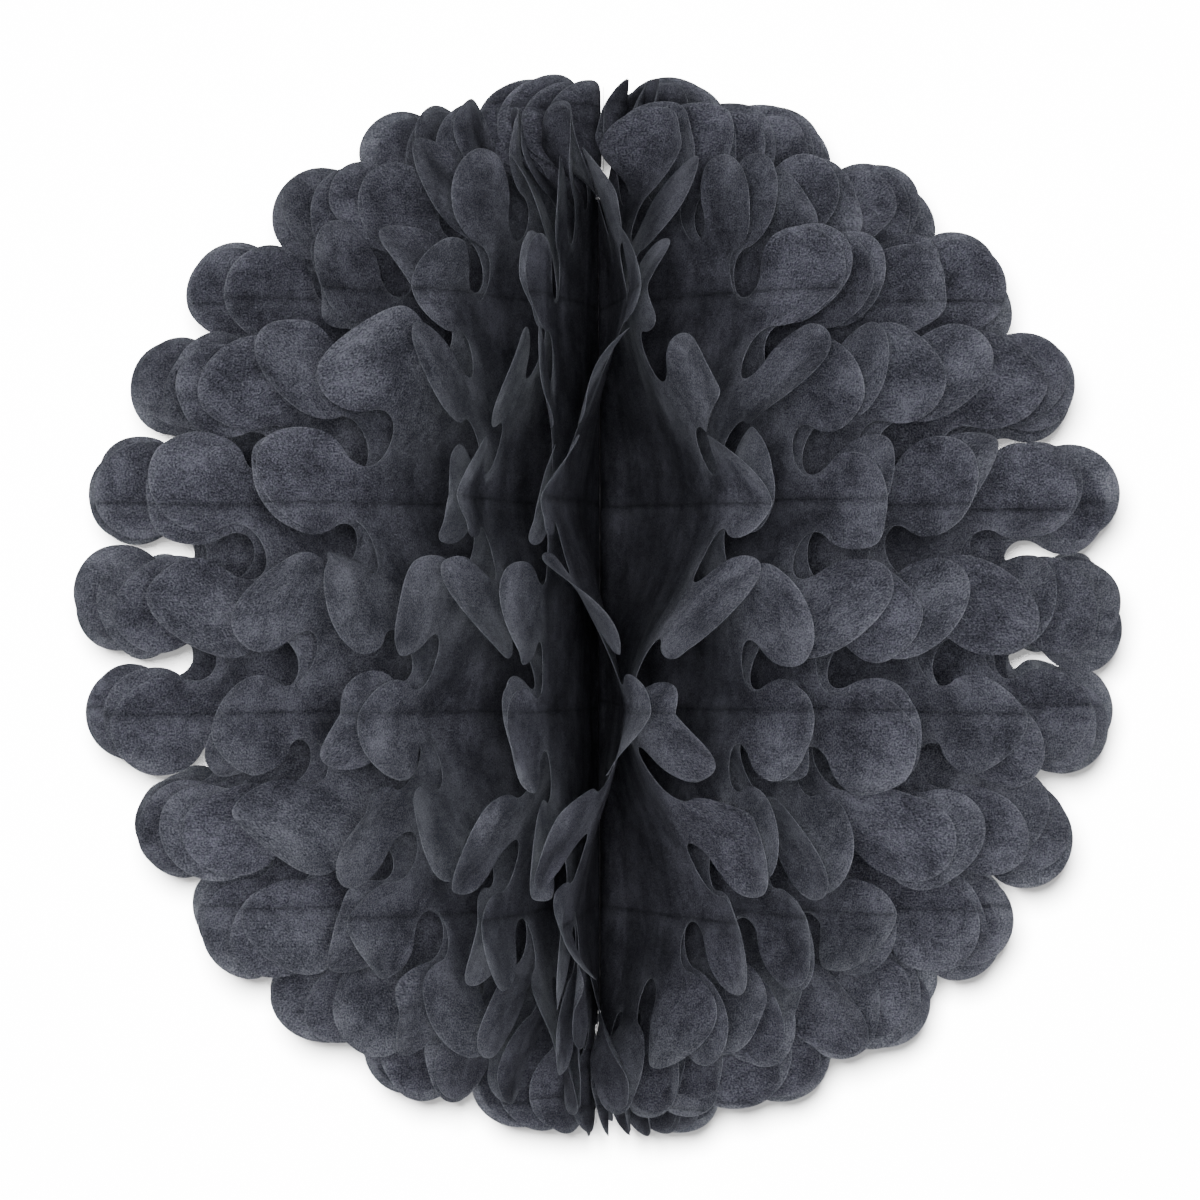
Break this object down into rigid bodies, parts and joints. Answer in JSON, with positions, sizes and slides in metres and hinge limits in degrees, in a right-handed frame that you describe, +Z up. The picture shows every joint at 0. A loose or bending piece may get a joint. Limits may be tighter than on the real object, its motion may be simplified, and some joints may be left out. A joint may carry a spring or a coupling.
{
  "type": "paper honeycomb ball",
  "caption": "Round hanging decoration of die-cut tissue leaves, glued in a honeycomb round a bound spine and opened into a full ball with scalloped edges.",
  "frame": {"origin": "centre of the open ball, on its spine's axis, midway between its two ends", "axes": "+Z up along the spine towards the end it hangs from; -Y to the front, away from the seam; +X to the right seen from the front"},
  "size_m": [0.483, 0.483, 0.4802],
  "materials": {
    "tissue": "matte",
    "board": "matte",
    "glue": "satin",
    "cord": "matte",
    "pad": "matte"
  },
  "bodies": {
    "fixed_side": {"cover_board_fixed": "board", "leaf_01": "tissue", "spine_glue": "glue", "spine_cord": "cord", "top_knot": "cord", "bottom_knot": "cord", "upper_pad": "pad", "middle_pad": "pad", "lower_pad": "pad"},
    "swing_side": {"cover_board_swing": "board", "leaf_42": "tissue"},
    "leaf_02_body": {"leaf_02": "tissue"},
    "leaf_03_body": {"leaf_03": "tissue"},
    "leaf_04_body": {"leaf_04": "tissue"},
    "leaf_05_body": {"leaf_05": "tissue"},
    "leaf_06_body": {"leaf_06": "tissue"},
    "leaf_07_body": {"leaf_07": "tissue"},
    "leaf_08_body": {"leaf_08": "tissue"},
    "leaf_09_body": {"leaf_09": "tissue"},
    "leaf_10_body": {"leaf_10": "tissue"},
    "leaf_11_body": {"leaf_11": "tissue"},
    "leaf_12_body": {"leaf_12": "tissue"},
    "leaf_13_body": {"leaf_13": "tissue"},
    "leaf_14_body": {"leaf_14": "tissue"},
    "leaf_15_body": {"leaf_15": "tissue"},
    "leaf_16_body": {"leaf_16": "tissue"},
    "leaf_17_body": {"leaf_17": "tissue"},
    "leaf_18_body": {"leaf_18": "tissue"},
    "leaf_19_body": {"leaf_19": "tissue"},
    "leaf_20_body": {"leaf_20": "tissue"},
    "leaf_21_body": {"leaf_21": "tissue"},
    "leaf_22_body": {"leaf_22": "tissue"},
    "leaf_23_body": {"leaf_23": "tissue"},
    "leaf_24_body": {"leaf_24": "tissue"},
    "leaf_25_body": {"leaf_25": "tissue"},
    "leaf_26_body": {"leaf_26": "tissue"},
    "leaf_27_body": {"leaf_27": "tissue"},
    "leaf_28_body": {"leaf_28": "tissue"},
    "leaf_29_body": {"leaf_29": "tissue"},
    "leaf_30_body": {"leaf_30": "tissue"},
    "leaf_31_body": {"leaf_31": "tissue"},
    "leaf_32_body": {"leaf_32": "tissue"},
    "leaf_33_body": {"leaf_33": "tissue"},
    "leaf_34_body": {"leaf_34": "tissue"},
    "leaf_35_body": {"leaf_35": "tissue"},
    "leaf_36_body": {"leaf_36": "tissue"},
    "leaf_37_body": {"leaf_37": "tissue"},
    "leaf_38_body": {"leaf_38": "tissue"},
    "leaf_39_body": {"leaf_39": "tissue"},
    "leaf_40_body": {"leaf_40": "tissue"},
    "leaf_41_body": {"leaf_41": "tissue"}
  },
  "joints": [
    {"name": "fan_fold", "type": "hinge", "parent": "fixed_side", "child": "swing_side", "pos_m": [0, 0, 0], "axis": [0, 0, 1], "range_deg": [-351, 0], "deforming": ["leaf_01", "leaf_42"]},
    {"name": "leaf_02_turn", "type": "hinge", "parent": "fixed_side", "child": "leaf_02_body", "pos_m": [0, 0, 0], "axis": [0, 0, 1], "range_deg": [-4.8, 0], "deforming": ["leaf_02"]},
    {"name": "leaf_03_turn", "type": "hinge", "parent": "fixed_side", "child": "leaf_03_body", "pos_m": [0, 0, 0], "axis": [0, 0, 1], "range_deg": [-14.25, 0], "deforming": ["leaf_03"]},
    {"name": "leaf_04_turn", "type": "hinge", "parent": "fixed_side", "child": "leaf_04_body", "pos_m": [0, 0, 0], "axis": [0, 0, 1], "range_deg": [-23.69, 0], "deforming": ["leaf_04"]},
    {"name": "leaf_05_turn", "type": "hinge", "parent": "fixed_side", "child": "leaf_05_body", "pos_m": [0, 0, 0], "axis": [0, 0, 1], "range_deg": [-33.13, 0], "deforming": ["leaf_05"]},
    {"name": "leaf_06_turn", "type": "hinge", "parent": "fixed_side", "child": "leaf_06_body", "pos_m": [0, 0, 0], "axis": [0, 0, 1], "range_deg": [-42.57, 0], "deforming": ["leaf_06"]},
    {"name": "leaf_07_turn", "type": "hinge", "parent": "fixed_side", "child": "leaf_07_body", "pos_m": [0, 0, 0], "axis": [0, 0, 1], "range_deg": [-52.01, 0], "deforming": ["leaf_07"]},
    {"name": "leaf_08_turn", "type": "hinge", "parent": "fixed_side", "child": "leaf_08_body", "pos_m": [0, 0, 0], "axis": [0, 0, 1], "range_deg": [-61.45, 0], "deforming": ["leaf_08"]},
    {"name": "leaf_09_turn", "type": "hinge", "parent": "fixed_side", "child": "leaf_09_body", "pos_m": [0, 0, 0], "axis": [0, 0, 1], "range_deg": [-70.9, 0], "deforming": ["leaf_09"]},
    {"name": "leaf_10_turn", "type": "hinge", "parent": "fixed_side", "child": "leaf_10_body", "pos_m": [0, 0, 0], "axis": [0, 0, 1], "range_deg": [-80.34, 0], "deforming": ["leaf_10"]},
    {"name": "leaf_11_turn", "type": "hinge", "parent": "fixed_side", "child": "leaf_11_body", "pos_m": [0, 0, 0], "axis": [0, 0, 1], "range_deg": [-89.78, 0], "deforming": ["leaf_11"]},
    {"name": "leaf_12_turn", "type": "hinge", "parent": "fixed_side", "child": "leaf_12_body", "pos_m": [0, 0, 0], "axis": [0, 0, 1], "range_deg": [-99.22, 0], "deforming": ["leaf_12"]},
    {"name": "leaf_13_turn", "type": "hinge", "parent": "fixed_side", "child": "leaf_13_body", "pos_m": [0, 0, 0], "axis": [0, 0, 1], "range_deg": [-109.02, 0], "deforming": ["leaf_13"]},
    {"name": "leaf_14_turn", "type": "hinge", "parent": "fixed_side", "child": "leaf_14_body", "pos_m": [0, 0, 0], "axis": [0, 0, 1], "range_deg": [-118.53, 0], "deforming": ["leaf_14"]},
    {"name": "leaf_15_turn", "type": "hinge", "parent": "fixed_side", "child": "leaf_15_body", "pos_m": [0, 0, 0], "axis": [0, 0, 1], "range_deg": [-128.43, 0], "deforming": ["leaf_15"]},
    {"name": "leaf_16_turn", "type": "hinge", "parent": "fixed_side", "child": "leaf_16_body", "pos_m": [0, 0, 0], "axis": [0, 0, 1], "range_deg": [-138.39, 0], "deforming": ["leaf_16"]},
    {"name": "leaf_17_turn", "type": "hinge", "parent": "fixed_side", "child": "leaf_17_body", "pos_m": [0, 0, 0], "axis": [0, 0, 1], "range_deg": [-148.01, 0], "deforming": ["leaf_17"]},
    {"name": "leaf_18_turn", "type": "hinge", "parent": "fixed_side", "child": "leaf_18_body", "pos_m": [0, 0, 0], "axis": [0, 0, 1], "range_deg": [-156.93, 0], "deforming": ["leaf_18"]},
    {"name": "leaf_19_turn", "type": "hinge", "parent": "fixed_side", "child": "leaf_19_body", "pos_m": [0, 0, 0], "axis": [0, 0, 1], "range_deg": [-165.07, 0], "deforming": ["leaf_19"]},
    {"name": "leaf_20_turn", "type": "hinge", "parent": "fixed_side", "child": "leaf_20_body", "pos_m": [0, 0, 0], "axis": [0, 0, 1], "range_deg": [-169.95, 0], "deforming": ["leaf_20"]},
    {"name": "leaf_21_turn", "type": "hinge", "parent": "fixed_side", "child": "leaf_21_body", "pos_m": [0, 0, 0], "axis": [0, 0, 1], "range_deg": [-175.39, 0], "deforming": ["leaf_21"]},
    {"name": "leaf_22_turn", "type": "hinge", "parent": "fixed_side", "child": "leaf_22_body", "pos_m": [0, 0, 0], "axis": [0, 0, 1], "range_deg": [-186.17, 0], "deforming": ["leaf_22"]},
    {"name": "leaf_23_turn", "type": "hinge", "parent": "fixed_side", "child": "leaf_23_body", "pos_m": [0, 0, 0], "axis": [0, 0, 1], "range_deg": [-194.17, 0], "deforming": ["leaf_23"]},
    {"name": "leaf_24_turn", "type": "hinge", "parent": "fixed_side", "child": "leaf_24_body", "pos_m": [0, 0, 0], "axis": [0, 0, 1], "range_deg": [-199.64, 0], "deforming": ["leaf_24"]},
    {"name": "leaf_25_turn", "type": "hinge", "parent": "fixed_side", "child": "leaf_25_body", "pos_m": [0, 0, 0], "axis": [0, 0, 1], "range_deg": [-204.91, 0], "deforming": ["leaf_25"]},
    {"name": "leaf_26_turn", "type": "hinge", "parent": "fixed_side", "child": "leaf_26_body", "pos_m": [0, 0, 0], "axis": [0, 0, 1], "range_deg": [-210.98, 0], "deforming": ["leaf_26"]},
    {"name": "leaf_27_turn", "type": "hinge", "parent": "fixed_side", "child": "leaf_27_body", "pos_m": [0, 0, 0], "axis": [0, 0, 1], "range_deg": [-220.25, 0], "deforming": ["leaf_27"]},
    {"name": "leaf_28_turn", "type": "hinge", "parent": "fixed_side", "child": "leaf_28_body", "pos_m": [0, 0, 0], "axis": [0, 0, 1], "range_deg": [-229.97, 0], "deforming": ["leaf_28"]},
    {"name": "leaf_29_turn", "type": "hinge", "parent": "fixed_side", "child": "leaf_29_body", "pos_m": [0, 0, 0], "axis": [0, 0, 1], "range_deg": [-239.24, 0], "deforming": ["leaf_29"]},
    {"name": "leaf_30_turn", "type": "hinge", "parent": "fixed_side", "child": "leaf_30_body", "pos_m": [0, 0, 0], "axis": [0, 0, 1], "range_deg": [-247.27, 0], "deforming": ["leaf_30"]},
    {"name": "leaf_31_turn", "type": "hinge", "parent": "fixed_side", "child": "leaf_31_body", "pos_m": [0, 0, 0], "axis": [0, 0, 1], "range_deg": [-255.24, 0], "deforming": ["leaf_31"]},
    {"name": "leaf_32_turn", "type": "hinge", "parent": "fixed_side", "child": "leaf_32_body", "pos_m": [0, 0, 0], "axis": [0, 0, 1], "range_deg": [-264.37, 0], "deforming": ["leaf_32"]},
    {"name": "leaf_33_turn", "type": "hinge", "parent": "fixed_side", "child": "leaf_33_body", "pos_m": [0, 0, 0], "axis": [0, 0, 1], "range_deg": [-273.49, 0], "deforming": ["leaf_33"]},
    {"name": "leaf_34_turn", "type": "hinge", "parent": "fixed_side", "child": "leaf_34_body", "pos_m": [0, 0, 0], "axis": [0, 0, 1], "range_deg": [-282.62, 0], "deforming": ["leaf_34"]},
    {"name": "leaf_35_turn", "type": "hinge", "parent": "fixed_side", "child": "leaf_35_body", "pos_m": [0, 0, 0], "axis": [0, 0, 1], "range_deg": [-291.75, 0], "deforming": ["leaf_35"]},
    {"name": "leaf_36_turn", "type": "hinge", "parent": "fixed_side", "child": "leaf_36_body", "pos_m": [0, 0, 0], "axis": [0, 0, 1], "range_deg": [-300.87, 0], "deforming": ["leaf_36"]},
    {"name": "leaf_37_turn", "type": "hinge", "parent": "fixed_side", "child": "leaf_37_body", "pos_m": [0, 0, 0], "axis": [0, 0, 1], "range_deg": [-310.03, 0], "deforming": ["leaf_37"]},
    {"name": "leaf_38_turn", "type": "hinge", "parent": "fixed_side", "child": "leaf_38_body", "pos_m": [0, 0, 0], "axis": [0, 0, 1], "range_deg": [-319.16, 0], "deforming": ["leaf_38"]},
    {"name": "leaf_39_turn", "type": "hinge", "parent": "fixed_side", "child": "leaf_39_body", "pos_m": [0, 0, 0], "axis": [0, 0, 1], "range_deg": [-328.29, 0], "deforming": ["leaf_39"]},
    {"name": "leaf_40_turn", "type": "hinge", "parent": "fixed_side", "child": "leaf_40_body", "pos_m": [0, 0, 0], "axis": [0, 0, 1], "range_deg": [-337.41, 0], "deforming": ["leaf_40"]},
    {"name": "leaf_41_turn", "type": "hinge", "parent": "fixed_side", "child": "leaf_41_body", "pos_m": [0, 0, 0], "axis": [0, 0, 1], "range_deg": [-346.54, 0], "deforming": ["leaf_41"]}
  ],
  "couplings": [
    {"joint": "leaf_02_turn", "follows": "fan_fold", "ratio": 0.0134},
    {"joint": "leaf_03_turn", "follows": "fan_fold", "ratio": 0.0403},
    {"joint": "leaf_04_turn", "follows": "fan_fold", "ratio": 0.0672},
    {"joint": "leaf_05_turn", "follows": "fan_fold", "ratio": 0.0941},
    {"joint": "leaf_06_turn", "follows": "fan_fold", "ratio": 0.121},
    {"joint": "leaf_07_turn", "follows": "fan_fold", "ratio": 0.1479},
    {"joint": "leaf_08_turn", "follows": "fan_fold", "ratio": 0.1748},
    {"joint": "leaf_09_turn", "follows": "fan_fold", "ratio": 0.2017},
    {"joint": "leaf_10_turn", "follows": "fan_fold", "ratio": 0.2286},
    {"joint": "leaf_11_turn", "follows": "fan_fold", "ratio": 0.2555},
    {"joint": "leaf_12_turn", "follows": "fan_fold", "ratio": 0.2824},
    {"joint": "leaf_13_turn", "follows": "fan_fold", "ratio": 0.3103},
    {"joint": "leaf_14_turn", "follows": "fan_fold", "ratio": 0.3374},
    {"joint": "leaf_15_turn", "follows": "fan_fold", "ratio": 0.3656},
    {"joint": "leaf_16_turn", "follows": "fan_fold", "ratio": 0.394},
    {"joint": "leaf_17_turn", "follows": "fan_fold", "ratio": 0.4214},
    {"joint": "leaf_18_turn", "follows": "fan_fold", "ratio": 0.4468},
    {"joint": "leaf_19_turn", "follows": "fan_fold", "ratio": 0.47},
    {"joint": "leaf_20_turn", "follows": "fan_fold", "ratio": 0.4839},
    {"joint": "leaf_21_turn", "follows": "fan_fold", "ratio": 0.4994},
    {"joint": "leaf_22_turn", "follows": "fan_fold", "ratio": 0.5301},
    {"joint": "leaf_23_turn", "follows": "fan_fold", "ratio": 0.5529},
    {"joint": "leaf_24_turn", "follows": "fan_fold", "ratio": 0.5685},
    {"joint": "leaf_25_turn", "follows": "fan_fold", "ratio": 0.5835},
    {"joint": "leaf_26_turn", "follows": "fan_fold", "ratio": 0.6008},
    {"joint": "leaf_27_turn", "follows": "fan_fold", "ratio": 0.6272},
    {"joint": "leaf_28_turn", "follows": "fan_fold", "ratio": 0.6549},
    {"joint": "leaf_29_turn", "follows": "fan_fold", "ratio": 0.6813},
    {"joint": "leaf_30_turn", "follows": "fan_fold", "ratio": 0.7042},
    {"joint": "leaf_31_turn", "follows": "fan_fold", "ratio": 0.7269},
    {"joint": "leaf_32_turn", "follows": "fan_fold", "ratio": 0.7529},
    {"joint": "leaf_33_turn", "follows": "fan_fold", "ratio": 0.7789},
    {"joint": "leaf_34_turn", "follows": "fan_fold", "ratio": 0.8049},
    {"joint": "leaf_35_turn", "follows": "fan_fold", "ratio": 0.8309},
    {"joint": "leaf_36_turn", "follows": "fan_fold", "ratio": 0.8569},
    {"joint": "leaf_37_turn", "follows": "fan_fold", "ratio": 0.883},
    {"joint": "leaf_38_turn", "follows": "fan_fold", "ratio": 0.909},
    {"joint": "leaf_39_turn", "follows": "fan_fold", "ratio": 0.935},
    {"joint": "leaf_40_turn", "follows": "fan_fold", "ratio": 0.961},
    {"joint": "leaf_41_turn", "follows": "fan_fold", "ratio": 0.987}
  ]
}
